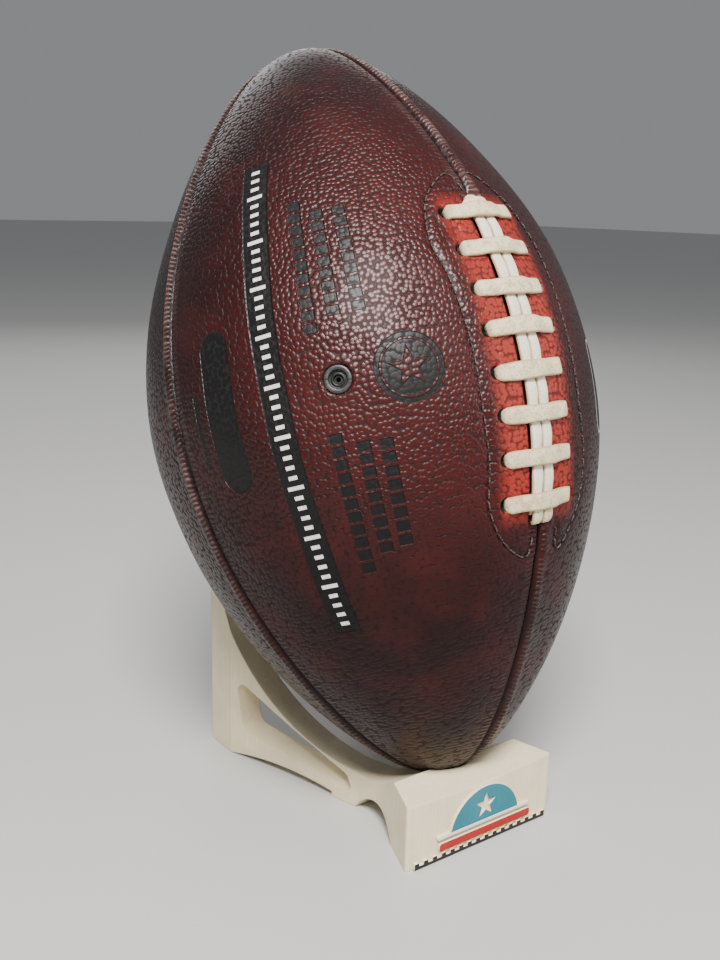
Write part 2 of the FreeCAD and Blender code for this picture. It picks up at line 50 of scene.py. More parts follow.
# ---------------------------------------------------------------- the ball's frame and surface
PANELS = ["leather_panel_front_left", "leather_panel_front_right",
          "leather_panel_rear_right", "leather_panel_rear_left"]
BALL_LENGTH = 286.0
BALL_TAPER = 0.31
BALL_TILT = math.radians(22)
BALL_ROLL = math.radians(2.2)
TIP_ANGLE = math.radians(0.6)
SLOPE_STEP = 0.05
TABLE_SIZE = 4001


def ball_box():
    """Lowest and highest corner of the four cover panels together."""
    corners = [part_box(name) for name in PANELS]
    low = Vector(min(box[0][axis] for box in corners) for axis in range(3))
    high = Vector(max(box[1][axis] for box in corners) for axis in range(3))
    return low, high


ball_low, ball_high = ball_box()
BALL_CENTRE = (ball_low + ball_high) / 2
BALL_RADIUS = (ball_high.x - ball_low.x) / 2 / MM
BALL_MATRIX = (Matrix.Translation(BALL_CENTRE) @ Matrix.Rotation(-BALL_TILT, 4, "X")
               @ Matrix.Rotation(BALL_ROLL, 4, "Z"))
HALF_LENGTH = BALL_LENGTH / 2


def radius_at(height):
    """Radius of the ball in millimetres at a height on its long axis."""
    along = np.clip(np.asarray(height, float) / HALF_LENGTH, -1, 1)
    return BALL_RADIUS * np.sqrt(1 - along ** 2) * (1 - BALL_TAPER * along ** 2)


def surface_points(azimuth, height, lift):
    """Points lifted off the ball in its own frame, metres; azimuth in radians from the laced seam."""
    height = np.asarray(height, float)
    radius = radius_at(height)
    slope = (radius_at(height + SLOPE_STEP) - radius_at(height - SLOPE_STEP)) / (2 * SLOPE_STEP)
    norm = np.sqrt(1 + slope ** 2)
    out_radius = radius + lift / norm
    out_height = height - lift * slope / norm
    return np.stack([out_radius * np.sin(azimuth), -out_radius * np.cos(azimuth), out_height], -1) * MM


TABLE_ANGLES = np.linspace(TIP_ANGLE, math.pi - TIP_ANGLE, TABLE_SIZE)
TABLE_HEIGHTS = -HALF_LENGTH * np.cos(TABLE_ANGLES)
TABLE_RADII = radius_at(TABLE_HEIGHTS)
STEPS = np.hypot(np.diff(TABLE_HEIGHTS), np.diff(TABLE_RADII))
TABLE_LENGTHS = np.concatenate([[0], np.cumsum(STEPS)])
TABLE_LENGTHS -= TABLE_LENGTHS[-1] / 2


def length_at(height):
    """Distance along a seam from the ball's middle, in millimetres."""
    return np.interp(height, TABLE_HEIGHTS, TABLE_LENGTHS)


def height_at(length):
    """Height on the ball's axis from the distance along a seam."""
    return np.interp(length, TABLE_LENGTHS, TABLE_HEIGHTS)


# ---------------------------------------------------------------- meshes
def make_object(name, points, faces, matrix=None, smooth=True):
    """Object in the model's frame; a matrix takes its points there from a frame of their own."""
    if matrix is not None:
        turn = np.array(matrix)
        points = np.asarray(points) @ turn[:3, :3].T + turn[:3, 3]
    mesh = bpy.data.meshes.new(name)
    mesh.from_pydata([tuple(p) for p in points], [], [tuple(f) for f in faces])
    mesh.validate()
    mesh.update()
    if smooth:
        mesh.polygons.foreach_set("use_smooth", [True] * len(mesh.polygons))
    made = bpy.data.objects.new(name, mesh)
    bpy.context.scene.collection.objects.link(made)
    return made


def add_uv(made, name, per_vertex):
    """UV layer from one value pair a vertex."""
    mesh = made.data
    layer = mesh.uv_layers.new(name=name)
    index = np.empty(len(mesh.loops), np.int64)
    mesh.loops.foreach_get("vertex_index", index)
    layer.data.foreach_set("uv", np.asarray(per_vertex, np.float32)[index].ravel())


def stepped(stops):
    """Positions from (end, step) stretches, starting at 0, evenly spaced within each stretch."""
    values = [0.0]
    for end, step in stops:
        start = values[-1]
        count = max(1, round((end - start) / step))
        values += [start + (end - start) * (i + 1) / count for i in range(count)]
    return np.array(values)


def smoothstep(value, low, high):
    """0 below low, 1 above high, smooth between."""
    t = np.clip((value - low) / (high - low), 0, 1)
    return t * t * (3 - 2 * t)


# ---------------------------------------------------------------- lace and stitch layout, mm
BAR_COUNT = 8
BAR_PITCH = 14.1
BAR_HEIGHTS = [BAR_PITCH * (i - (BAR_COUNT - 1) / 2) for i in range(BAR_COUNT)]
HOLE_REACH = 15.1
HOLE_HALF_WIDTH, HOLE_HALF_HEIGHT = 1.9, 2.2
OPENING_HALF_WIDTH = 5.2
OPENING_REACH = 55.0
VALVE_AZIMUTH = math.radians(-45)
VALVE_HEIGHT = -0.3
VALVE_RADIUS = 4.7
# Stitched outline of each facing: distance from the laced seam, height.
OUTLINE_LEFT = [(2.2, 58), (4.6, 65), (10.5, 63), (18.5, 56), (22.8, 48), (25.0, 38), (23.4, 27),
                (22.2, 6), (22, -19), (21.2, -35), (21.5, -48), (17.5, -58), (10.8, -65), (4.5, -67),
                (2.6, -58)]
OUTLINE_RIGHT = [(2.2, 58), (4.6, 66), (11, 63.5), (19.5, 54), (24.5, 40), (25.6, 27), (25.6, 6),
                 (25.8, -19), (27, -36), (24.5, -50), (18.5, -60), (13, -66), (9.6, -66), (9.0, -58)]
OUTLINE_STEPS = 40


def smooth_line(points, spacing):
    """Evenly spaced points on a Catmull-Rom curve through the given ones."""
    points = np.array(points, float)
    padded = np.vstack([2 * points[0] - points[1], points, 2 * points[-1] - points[-2]])
    dense = []
    for i in range(1, len(padded) - 2):
        p0, p1, p2, p3 = padded[i - 1:i + 3]
        for t in np.linspace(0, 1, OUTLINE_STEPS, endpoint=False):
            dense.append(0.5 * (2 * p1 + (p2 - p0) * t + (2 * p0 - 5 * p1 + 4 * p2 - p3) * t * t
                                + (3 * p1 - p0 - 3 * p2 + p3) * t ** 3))
    dense.append(points[-1])
    dense = np.array(dense)
    run = np.concatenate([[0], np.cumsum(np.linalg.norm(np.diff(dense, axis=0), axis=1))])
    count = int(run[-1] / spacing)
    wanted = np.linspace(0, run[-1], count)
    return np.stack([np.interp(wanted, run, dense[:, axis]) for axis in range(2)], -1)


STITCH_LINES = {-1: smooth_line(OUTLINE_LEFT, 1.0), 1: smooth_line(OUTLINE_RIGHT, 1.0)}


# ---------------------------------------------------------------- cover panels, mm
UNDULATION_HEIGHT, UNDULATION_WAVES = 0.16, 7
GROOVE_DEPTH, GROOVE_SPREAD = 1.15, 0.8
WELT_CENTRE, WELT_SPREAD = 2.9, 1.9
WELT_HEIGHTS = [(0.2, 0.2), (1.0, 0.3), (0.9, 0.3), (0.3, 1.0)]  # a panel's first and other seam
OPENING_DEPTH = 1.5
FACING_RISE = 0.32
STITCH_DEPTH, STITCH_SPREAD = 0.5, 0.9
HOLE_DEPTH, HOLE_RIM_HEIGHT = 1.7, 0.3
EYE_RIM_REACH, EYE_RIM_SPREAD, EYE_RIM_HEIGHT, EYE_LIFT = 5.9, 0.9, 0.3, -1.6
INNER_LIFT, LEAST_THICKNESS = -1.9, 0.3
FAR = 99.0
LINE_ARC, LINE_HEIGHT, LINE_CHUNK = 34, 76, 4000
LACE_ZONE, VALVE_ZONE, SEAM_ZONE, FINE_REACH = 28, (59, 75), 4, 69
FINE_COLUMN, COARSE_COLUMN, FINE_ROW, COARSE_ROW = 0.65, 1.4, 0.68, 1.25
REAR_SEAM_STEP, REAR_STEP = 0.6, 1.5
# Each panel's azimuth at its first seam, and the way round that it runs from there.
PANEL_TURNS = [(0, -1), (0, 1), (math.pi, -1), (-math.pi, 1)]


def undulation(azimuth, height, seed):
    """Slow uneven swelling of the leather, in millimetres."""
    draw = random.Random(seed)
    total = np.zeros(np.broadcast(azimuth, height).shape)
    for i in range(UNDULATION_WAVES):
        waves_round = draw.uniform(3, 14)
        waves_along = draw.uniform(-0.16, 0.16)
        phase = draw.uniform(0, 2 * math.pi)
        total += np.sin(waves_round * azimuth + waves_along * height + phase) / (1 + 0.5 * i)
    return UNDULATION_HEIGHT * total


def line_distance(arc, height, line):
    """Distance from each point to the stitched outline, and whether it lies inside it."""
    distance = np.full(arc.shape, FAR)
    near = (arc < LINE_ARC) & (np.abs(height) < LINE_HEIGHT)
    points = np.stack([arc[near], height[near]], -1)
    gaps = np.full(len(points), FAR)
    for start in range(0, len(points), LINE_CHUNK):
        part = points[start:start + LINE_CHUNK]
        gaps[start:start + LINE_CHUNK] = np.linalg.norm(part[:, None] - line[None], axis=-1).min(1)
    distance[near] = gaps
    by_height = line[np.argsort(line[:, 1])]
    reach = np.interp(height, by_height[:, 1], by_height[:, 0], left=0, right=0)
    return distance, arc < reach


def panel_lift(arc_seam, arc_other, azimuth, height, side, welts, seed):
    """Height of the leather above the plain ball, mm: seam grooves, welts, lace opening and holes."""
    calm = np.clip(radius_at(height) / 30, 0, 1)
    lift = undulation(azimuth, height, seed) * np.clip(np.minimum(arc_seam, arc_other) / 12, 0, 1)
    for arc, welt in ((arc_seam, welts[0]), (arc_other, welts[1])):
        lift -= GROOVE_DEPTH * np.exp(-(arc / GROOVE_SPREAD) ** 2) * calm
        lift += welt * np.exp(-((arc - WELT_CENTRE) / WELT_SPREAD) ** 2) * calm
    if side == 0:
        return lift
    open_part = 1 - smoothstep(np.abs(height), OPENING_REACH, OPENING_REACH + 5)
    dip = open_part * (1 - smoothstep(arc_seam, OPENING_HALF_WIDTH - 0.9, OPENING_HALF_WIDTH + 0.5))
    lift = lift * (1 - open_part * (arc_seam < 12)) - OPENING_DEPTH * dip
    distance, inside = line_distance(arc_seam, height, STITCH_LINES[side])
    lift += np.where(inside, FACING_RISE, 0) * smoothstep(distance, 0.6, 3.0) * (1 - dip)
    lift -= STITCH_DEPTH * np.exp(-(distance / STITCH_SPREAD) ** 2)
    for row in BAR_HEIGHTS:
        gap = np.hypot((arc_seam - HOLE_REACH) / HOLE_HALF_WIDTH, (height - row) / HOLE_HALF_HEIGHT)
        lift -= HOLE_DEPTH * np.exp(-gap ** 4)
        lift += HOLE_RIM_HEIGHT * np.exp(-((gap - 1.7) / 0.4) ** 2)
    return lift


def edge_walls(quads, offset):
    """Quads that join a sheet's open edges to those of its copy, offset vertices further on."""
    starts = quads.ravel()
    ends = np.roll(quads, -1, axis=1).ravel()
    forward = starts * offset + ends
    backward = ends * offset + starts
    open_edge = ~np.isin(forward, backward)
    starts, ends = starts[open_edge], ends[open_edge]
    return np.stack([ends, starts, starts + offset, ends + offset], -1)


def build_panel(index, name):
    """One quarter of the cover: outer skin, inner skin and turned edges, as a closed shell."""
    side = {0: -1, 1: 1}.get(index, 0)
    front = side != 0
    quarter = math.pi / 2
    width = BALL_RADIUS * quarter
    if front:
        columns = stepped([(LACE_ZONE, FINE_COLUMN), (VALVE_ZONE[0], COARSE_COLUMN),
                           (VALVE_ZONE[1], FINE_COLUMN), (width - SEAM_ZONE, COARSE_COLUMN),
                           (width, FINE_COLUMN)])
        half_rows = stepped([(FINE_REACH, FINE_ROW), (TABLE_LENGTHS[-1], COARSE_ROW)])
    else:
        columns = stepped([(SEAM_ZONE, REAR_SEAM_STEP), (width - SEAM_ZONE, REAR_STEP),
                           (width, REAR_SEAM_STEP)])
        half_rows = stepped([(TABLE_LENGTHS[-1], REAR_STEP)])
    rows = np.concatenate([-half_rows[:0:-1], half_rows])
    share = columns / width
    height = height_at(rows)[:, None] * np.ones(len(columns))
    first_azimuth, way = PANEL_TURNS[index]
    azimuth = (first_azimuth + way * share * quarter)[None] * np.ones((len(rows), 1))
    radius = radius_at(height)
    arc_seam = share[None] * quarter * radius
    arc_other = (1 - share[None]) * quarter * radius
    welts = WELT_HEIGHTS[index]
    lift = panel_lift(arc_seam, arc_other, azimuth, height, side, welts, 40 + index)
    if index == 0:  # the valve's panel
        around = (azimuth - VALVE_AZIMUTH) * radius
        gap = np.hypot(around, height - VALVE_HEIGHT)
        lift += EYE_RIM_HEIGHT * np.exp(-((gap - EYE_RIM_REACH) / EYE_RIM_SPREAD) ** 2)
        lift = np.where(gap < VALVE_RADIUS + 0.1, EYE_LIFT, lift)
    outer = surface_points(azimuth, height, lift).reshape(-1, 3)
    inner_lift = np.minimum(lift - LEAST_THICKNESS, INNER_LIFT)
    inner = surface_points(azimuth, height, inner_lift).reshape(-1, 3)
    n_rows, n_columns = height.shape
    grid = np.arange(n_rows * n_columns).reshape(n_rows, n_columns)
    quads = np.stack([grid[:-1, :-1], grid[:-1, 1:], grid[1:, 1:], grid[1:, :-1]], -1).reshape(-1, 4)
    if way < 0:
        quads = quads[:, ::-1]
    if index == 0:
        quads = quads[gap.ravel()[quads].max(1) > VALVE_RADIUS - 0.6]
    walls = edge_walls(quads, grid.size)
    faces = np.concatenate([quads, quads[:, ::-1] + grid.size, walls])
    made = make_object(name + "_cover", np.concatenate([outer, inner]), faces.tolist(), BALL_MATRIX)
    seam_gap = np.minimum(arc_seam, arc_other)
    middle = (share[None] - 0.5) * quarter * radius
    length = length_at(height)
    # Share of the welts' scuffing and painted highlight at each seam, more where the welt stands higher.
    first_wear_and_sheen, other_wear_and_sheen = [0.3 + 0.7 * (welt > 0.5) for welt in welts]
    wear_and_sheen_share = np.where(arc_seam < arc_other, first_wear_and_sheen, other_wear_and_sheen)
    layers = {
        "grain": (middle, length),
        "place": (np.degrees(azimuth), height),
        "edge": (seam_gap, radius),
        "lace": (arc_seam if front else arc_seam + 200, length),
        "wear_and_sheen_share": (100 * wear_and_sheen_share, height),
    }
    for layer, (first, second) in layers.items():
        pairs = np.stack([first.ravel(), second.ravel()], -1) / 100
        add_uv(made, layer, np.concatenate([pairs, pairs]))
    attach(made, "football")
    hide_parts(name)
    return made


# ---------------------------------------------------------------- straps and threads on the ball
def strap(path, widths, thicknesses, sides=16, power=3.0):
    """Closed flat tube along (azimuth, height, lift) points in the ball's frame.

    Returns points, faces and for each point its (distance along, share across the width)."""
    path = np.asarray(path, float)
    centre = surface_points(path[:, 0], path[:, 1], path[:, 2])
    above = surface_points(path[:, 0], path[:, 1], path[:, 2] + 1)
    normal = (above - centre) / MM
    tangent = np.gradient(centre, axis=0)
    tangent /= np.linalg.norm(tangent, axis=1)[:, None]
    across = np.cross(tangent, normal)
    across /= np.linalg.norm(across, axis=1)[:, None]
    upward = np.cross(across, tangent)
    angle = np.linspace(0, 2 * math.pi, sides, endpoint=False)
    side = np.sign(np.cos(angle)) * np.abs(np.cos(angle)) ** (2 / power)
    top = np.sign(np.sin(angle)) * np.abs(np.sin(angle)) ** (2 / power)
    widths = np.broadcast_to(widths, len(path))
    thicknesses = np.broadcast_to(thicknesses, len(path))
    ring = (centre[:, None]
            + across[:, None] * (side[None] * widths[:, None] / 2 * MM)[..., None]
            + upward[:, None] * (top[None] * thicknesses[:, None] / 2 * MM)[..., None])
    run = np.concatenate([[0], np.cumsum(np.linalg.norm(np.diff(centre, axis=0), axis=1))]) / MM
    points = ring.reshape(-1, 3)
    pairs = np.stack([np.repeat(run, sides), np.tile(side, len(path))], -1)
    faces = []
    for i in range(len(path) - 1):
        for j in range(sides):
            k = (j + 1) % sides
            faces.append((i * sides + j, i * sides + k, (i + 1) * sides + k, (i + 1) * sides + j))
    faces.append(tuple(range(sides))[::-1])
    faces.append(tuple((len(path) - 1) * sides + j for j in range(sides)))
    return points, faces, pairs


def joined(parts):
    """Points, faces and pairs of several straps as one."""
    points, faces, pairs, offset = [], [], [], 0
    for part_points, part_faces, part_pairs in parts:
        points.append(part_points)
        pairs.append(part_pairs)
        faces += [tuple(i + offset for i in face) for face in part_faces]
        offset += len(part_points)
    return np.concatenate(points), faces, np.concatenate(pairs)


RUNNER_WIDTH, RUNNER_LIFT, RUNNER_THICKNESS = 4.7, 0.75, 1.5
PAST_LOW_BAR, PAST_TOP_BAR = 4.6, 4.2
BAR_WIDTH, BAR_LIFT, BAR_RISE, BAR_DIVE, BAR_THICKNESS = 6.0, 1.0, 1.35, 2.6, 1.6
BAR_REACH = HOLE_REACH - 0.4
CREST_END, SLOPE_END = 3.2, 9.5
KNOT_RISE, TUCK_DROP = 2.9, 3.6
STITCH_PITCH, STITCH_BITE, STITCH_START, STITCH_STEP = 3.9, 3.0, 0.6, 0.4
THREAD_WIDTH, THREAD_HEIGHT = 0.62, 0.5
LACE_SEED = 7


def cross_bar(row, draw):
    """One bar of the lace, out of a hole, over the double strand and into the other hole."""
    share = np.linspace(-1, 1, 61)
    arc = share * BAR_REACH
    over = 1 - smoothstep(np.abs(arc), CREST_END, SLOPE_END)
    edge = smoothstep(np.abs(share), 0.93, 1.0)
    lift = BAR_LIFT + BAR_RISE * over - BAR_DIVE * edge
    arc = arc * (1 - 0.02 * edge)
    bow = draw.uniform(-0.5, 0.5)
    tilt = draw.uniform(0.1, 0.7)
    height = row + tilt * share + bow * (1 - share ** 2)
    width = (BAR_WIDTH + draw.uniform(-0.25, 0.25)) * (1 - 0.1 * np.abs(share) ** 3) - 1.4 * edge
    width = width + 0.22 * np.sin(5 * share + draw.uniform(0, 6))
    thickness = BAR_THICKNESS * (1 - 0.25 * edge) + 0.12 * np.sin(7 * share + draw.uniform(0, 6))
    path = np.stack([arc / radius_at(height), height, lift], -1)
    return strap(path, width, thickness)


def runner_strand(side, draw):
    """Flat strand lying along the opening under the bars."""
    low, high = BAR_HEIGHTS[0] - PAST_LOW_BAR, BAR_HEIGHTS[-1] + PAST_TOP_BAR
    height = np.linspace(low, high, 241)
    near_bar = np.min([np.abs(height - row) for row in BAR_HEIGHTS], axis=0)
    bulge = smoothstep(near_bar, 2.5, 7)
    lift = RUNNER_LIFT - 0.1 + 0.3 * bulge
    end = np.minimum(height - low, high - height)
    lift = lift - 1.6 * (1 - smoothstep(end, 0, 2.6))
    wander = 0.14 * np.sin(height * 0.22 + draw.uniform(0, 6)) + 0.08 * np.sin(height * 0.61 + side)
    arc = side * (RUNNER_WIDTH / 2 + 0.12) + wander * 0.5
    width = RUNNER_WIDTH + 0.3 * bulge - 0.15 + 0.1 * np.sin(height * 0.9 + draw.uniform(0, 6))
    path = np.stack([arc / radius_at(height), height, lift], -1)
    return strap(path, width, RUNNER_THICKNESS)


def lace_ends(draw):
    """Knot tucked in above the top bar, and the folded tuck below the bottom bar."""
    top = BAR_HEIGHTS[-1] + KNOT_RISE
    share = np.linspace(-1, 1, 25)
    dome = np.sqrt(np.clip(1 - share ** 2, 0, 1))
    taper = np.sqrt(np.clip(1.02 - share ** 4, 0, 1))
    lift = 0.4 + 1.4 * dome
    path = np.stack([(share * 5.2 - 1.2) / radius_at(top), top + 0.6 * share, lift], -1)
    parts = [strap(path, 3.4 * taper + 0.4, 1.8)]
    arc = share * 2.4 - 2.0
    path = np.stack([arc / radius_at(top + 1.2), top + 1.1 - 0.4 * share, lift * 0.9], -1)
    parts.append(strap(path, 2.6 * taper + 0.3, 1.5))
    low = BAR_HEIGHTS[0] - TUCK_DROP
    for side in (-1, 1):
        height = low - 1.4 + 2.4 * share
        lift = 1.35 * np.sqrt(np.clip(1 - np.clip(-share, 0, 1) ** 2, 0, 1)) + draw.uniform(0, 0.2)
        path = np.stack([side * 2.35 / radius_at(height), height, lift - 0.2], -1)
        parts.append(strap(path, 4.6 - 0.8 * np.clip(-share, 0, 1) ** 2, 1.4))
    return parts


def add_strap_uv(made, pairs):
    """Distance along each strap over 100, and the share across its width as it is."""
    add_uv(made, "strap", pairs / 100 * np.array([1, 100]))


def build_lace():
    """Bars, double strand and tucked ends, with how strand-like each strap is as its tone."""
    draw = random.Random(LACE_SEED)
    straps = [cross_bar(row, draw) for row in BAR_HEIGHTS]
    straps += [runner_strand(side, draw) for side in (-1, 1)]
    straps += lace_ends(draw)
    points, faces, pairs = joined(straps)
    made = make_object("lace_strands_and_bars", points, faces, BALL_MATRIX)
    add_strap_uv(made, pairs)
    kinds = [0.0] * BAR_COUNT + [1.0, 1.0] + [0.45, 0.3, 0.0, 0.0]
    tone = np.concatenate([np.full(len(part[0]), kind) for part, kind in zip(straps, kinds)])
    add_uv(made, "tone", np.stack([tone, tone], -1))
    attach(made, "football")
    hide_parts("lace")
    return made


def build_stitches():
    """Thread of the facing seam: short bites that dip into the leather at both ends."""
    parts = []
    for side, outline in ((-1, OUTLINE_LEFT), (1, OUTLINE_RIGHT)):
        line = smooth_line(outline, STITCH_STEP)
        run = np.arange(len(line)) * STITCH_STEP
        start = STITCH_START
        while start + STITCH_BITE < run[-1]:
            along = np.linspace(start, start + STITCH_BITE, 9)
            arc = np.interp(along, run, line[:, 0])
            height = np.interp(along, run, line[:, 1])
            share = np.linspace(-1, 1, 9)
            lift = -0.5 + 0.62 * np.sqrt(1 - 0.8 * share ** 4) - 0.35 * share ** 8
            path = np.stack([side * arc / radius_at(height), height, lift], -1)
            parts.append(strap(path, THREAD_WIDTH, THREAD_HEIGHT, sides=8, power=2.0))
            start += STITCH_PITCH
    points, faces, pairs = joined(parts)
    made = make_object("facing_stitch_thread", points, faces, BALL_MATRIX)
    add_strap_uv(made, pairs)
    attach(made, "football")
    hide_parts("facing_stitches")
    return made


# ---------------------------------------------------------------- valve
# Section from the hole, over the rim and down to the flange and stem: radius, height.
VALVE_OUTLINE = [(1.45, -1.9), (1.45, -1.1), (1.55, -0.92), (1.8, -0.75), (2.05, -0.75), (2.25, -0.92),
                 (2.5, -1.02), (2.8, -1.0), (2.95, -0.85), (3.0, -0.3), (3.1, -0.08), (3.3, 0.02),
                 (3.8, 0.06), (4.3, 0.02), (4.5, -0.1), (4.6, -0.4), (4.62, -1.2), (4.62, -4.6),
                 (9.8, -4.65), (9.9, -5.2), (9.8, -5.8), (4.3, -6.8), (4.2, -13.8), (2.65, -13.9),
                 (2.6, -1.9)]
VALVE_SIDES = 128
VALVE_SINK = 0.1
RIM_SPLIT = math.radians(-12)
RIM_INNER, RIM_OUTER, RIM_STEP, RIM_DROP = 3.05, 4.55, 0.42, 0.12
CUP_RADIUS = 3.15


def build_valve():
    """Moulded rubber valve: rim with one raised half, sunk ring and the hole over the core."""
    count = VALVE_SIDES
    angle = np.linspace(0, 2 * math.pi, count, endpoint=False)
    raised = smoothstep(np.sin(angle - RIM_SPLIT), -0.02, 0.02)
    points, faces = [], []
    for radius, height in VALVE_OUTLINE:
        on_rim = 1.0 if RIM_INNER < radius < RIM_OUTER and height > -0.2 else 0.0
        level = height + on_rim * (RIM_STEP * raised - RIM_DROP)
        points.append(np.stack([radius * np.cos(angle), radius * np.sin(angle), level], -1))
    rings = len(VALVE_OUTLINE)
    for i in range(rings):
        k = (i + 1) % rings
        for j in range(count):
            n = (j + 1) % count
            faces.append((i * count + j, i * count + n, k * count + n, k * count + j))
    outward = Vector((math.sin(VALVE_AZIMUTH), -math.cos(VALVE_AZIMUTH), 0))
    up = Vector((0, 0, 1))
    side = up.cross(outward)
    turn = Matrix((side, up, outward)).transposed().to_4x4()
    start = outward * float(radius_at(VALVE_HEIGHT) - VALVE_SINK) * MM + up * VALVE_HEIGHT * MM
    matrix = BALL_MATRIX @ Matrix.Translation(start) @ turn
    made = make_object("valve_rubber_rim", np.concatenate(points) * MM, faces, matrix)
    reach = np.repeat([radius for radius, _ in VALVE_OUTLINE], count)
    add_uv(made, "reach", np.stack([reach, reach], -1) / 100)
    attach(made, "football")
    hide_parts("valve_body")
    return made


# ---------------------------------------------------------------- node helpers
class Graph:
    """Short names for the nodes of one material, and for its principled shader."""

    def __init__(self, name):
        self.material = bpy.data.materials.new(name)
        self.material.use_nodes = True
        self.tree = self.material.node_tree
        self.shader = self.tree.nodes["Principled BSDF"]

    def node(self, kind, **settings):
        made = self.tree.nodes.new(kind)
        for key, value in settings.items():
            setattr(made, key, value)
        return made

    def put(self, socket, value):
        """Links a socket to another one or sets it to a plain value; None leaves it alone."""
        if isinstance(value, bpy.types.NodeSocket):
            self.tree.links.new(value, socket)
        elif value is not None:
            socket.default_value = value

    def calc(self, operation, first, second=None, third=None, clamp=False):
        made = self.node("ShaderNodeMath", operation=operation, use_clamp=clamp)
        for socket, value in zip(made.inputs, (first, second, third)):
            self.put(socket, value)
        return made.outputs[0]

    plus = partialmethod(calc, "ADD")
    minus = partialmethod(calc, "SUBTRACT")
    times = partialmethod(calc, "MULTIPLY")
    over = partialmethod(calc, "DIVIDE")
    scaled = partialmethod(calc, "MULTIPLY_ADD")
    absolute = partialmethod(calc, "ABSOLUTE")
    fraction = partialmethod(calc, "FRACT")
    larger = partialmethod(calc, "MAXIMUM")
    below = partialmethod(calc, "LESS_THAN")
    sine = partialmethod(calc, "SINE")

    def distance(self, x, y):
        """Length of the vector (x, y)."""
        return self.calc("SQRT", self.plus(self.times(x, x), self.times(y, y)))

    def smooth(self, value, low, high, start=0.0, end=1.0):
        """start below low and end past high, with a smooth step between; low may be the higher."""
        made = self.node("ShaderNodeMapRange", interpolation_type="SMOOTHSTEP")
        for socket, item in zip(made.inputs, (value, low, high, start, end)):
            self.put(socket, item)
        return made.outputs[0]

    def mix(self, share, first, second):
        made = self.node("ShaderNodeMix", data_type="RGBA")
        self.put(made.inputs[0], share)
        self.put(made.inputs[6], colour(first))
        self.put(made.inputs[7], colour(second))
        return made.outputs[2]

    def uv(self, name, scale=100.0):
        """The two values of a UV layer, in millimetres or degrees."""
        made = self.node("ShaderNodeUVMap", uv_map=name)
        parts = self.node("ShaderNodeSeparateXYZ")
        self.put(parts.inputs[0], made.outputs[0])
        return self.times(parts.outputs[0], scale), self.times(parts.outputs[1], scale)

    def vector(self, x, y, z=0.0):
        made = self.node("ShaderNodeCombineXYZ")
        for socket, value in zip(made.inputs, (x, y, z)):
            self.put(socket, value)
        return made.outputs[0]

    def place(self):
        """Position in the model's frame, in metres."""
        return self.node("ShaderNodeTexCoord").outputs["Object"]

    def place_parts(self):
        parts = self.node("ShaderNodeSeparateXYZ")
        self.put(parts.inputs[0], self.place())
        return tuple(parts.outputs)

    def noise(self, vector, scale, detail=3.0, rough=0.55, dimensions="3D"):
        made = self.node("ShaderNodeTexNoise", noise_dimensions=dimensions)
        self.put(made.inputs["Vector"], vector)
        self.put(made.inputs["Scale"], scale)
        self.put(made.inputs["Detail"], detail)
        self.put(made.inputs["Roughness"], rough)
        return made.outputs[0]

    def voronoi(self, vector, scale, feature="F1", dimensions="3D", randomness=1.0, smoothness=0.0):
        made = self.node("ShaderNodeTexVoronoi", feature=feature, voronoi_dimensions=dimensions)
        self.put(made.inputs["Vector"], vector)
        self.put(made.inputs["Scale"], scale)
        self.put(made.inputs["Randomness"], randomness)
        if feature == "SMOOTH_F1":
            self.put(made.inputs["Smoothness"], smoothness)
        return made.outputs["Distance"]

    def bump(self, height, distance, strength=1.0, normal=None):
        made = self.node("ShaderNodeBump")
        self.put(made.inputs["Height"], height)
        self.put(made.inputs["Distance"], distance)
        self.put(made.inputs["Strength"], strength)
        if normal is not None:
            self.put(made.inputs["Normal"], normal)
        return made.outputs[0]

    def finish(self, base=None, rough=None, normal=None, **fixed):
        self.put(self.shader.inputs["Base Color"], colour(base))
        self.put(self.shader.inputs["Roughness"], rough)
        self.put(self.shader.inputs["Normal"], normal)
        for name, value in fixed.items():
            self.put(self.shader.inputs[name.replace("_", " ")], value)
        return self.material


def colour(value):
    """A three-part colour with its alpha added; anything else as it is."""
    if isinstance(value, tuple) and len(value) == 3:
        return (*value, 1.0)
    return value


# ---------------------------------------------------------------- colours and marks
# LEATHER_DARK and LEATHER_MID are the ends of the body's colour: painted shade and painted light, with
# random clouds between.
LEATHER_DARK = (0.0105, 0.0024, 0.0025)
LEATHER_MID = (0.043, 0.0058, 0.0054)
LEATHER_RED = (0.072, 0.0080, 0.0062)
# Painted shade for the grain's creases and the seam groove.
LEATHER_CREASE_SHADE = (0.0055, 0.0016, 0.0016)
LACE_FIELD = (0.255, 0.021, 0.0125)
# Painted shade for the creases of the red field.
LACE_FIELD_CREASE_SHADE = (0.085, 0.006, 0.004)
OPENING_SHADE = (0.02, 0.004, 0.003)
HOLE_SHADE = (0.003, 0.003, 0.003)
# Colour of the welts where they are scuffed and where a highlight is painted on them.
WORN_EDGE_AND_SHEEN = (0.21, 0.128, 0.114)
INK = (0.004, 0.004, 0.0043)
INK_WHITE = (0.72, 0.72, 0.70)

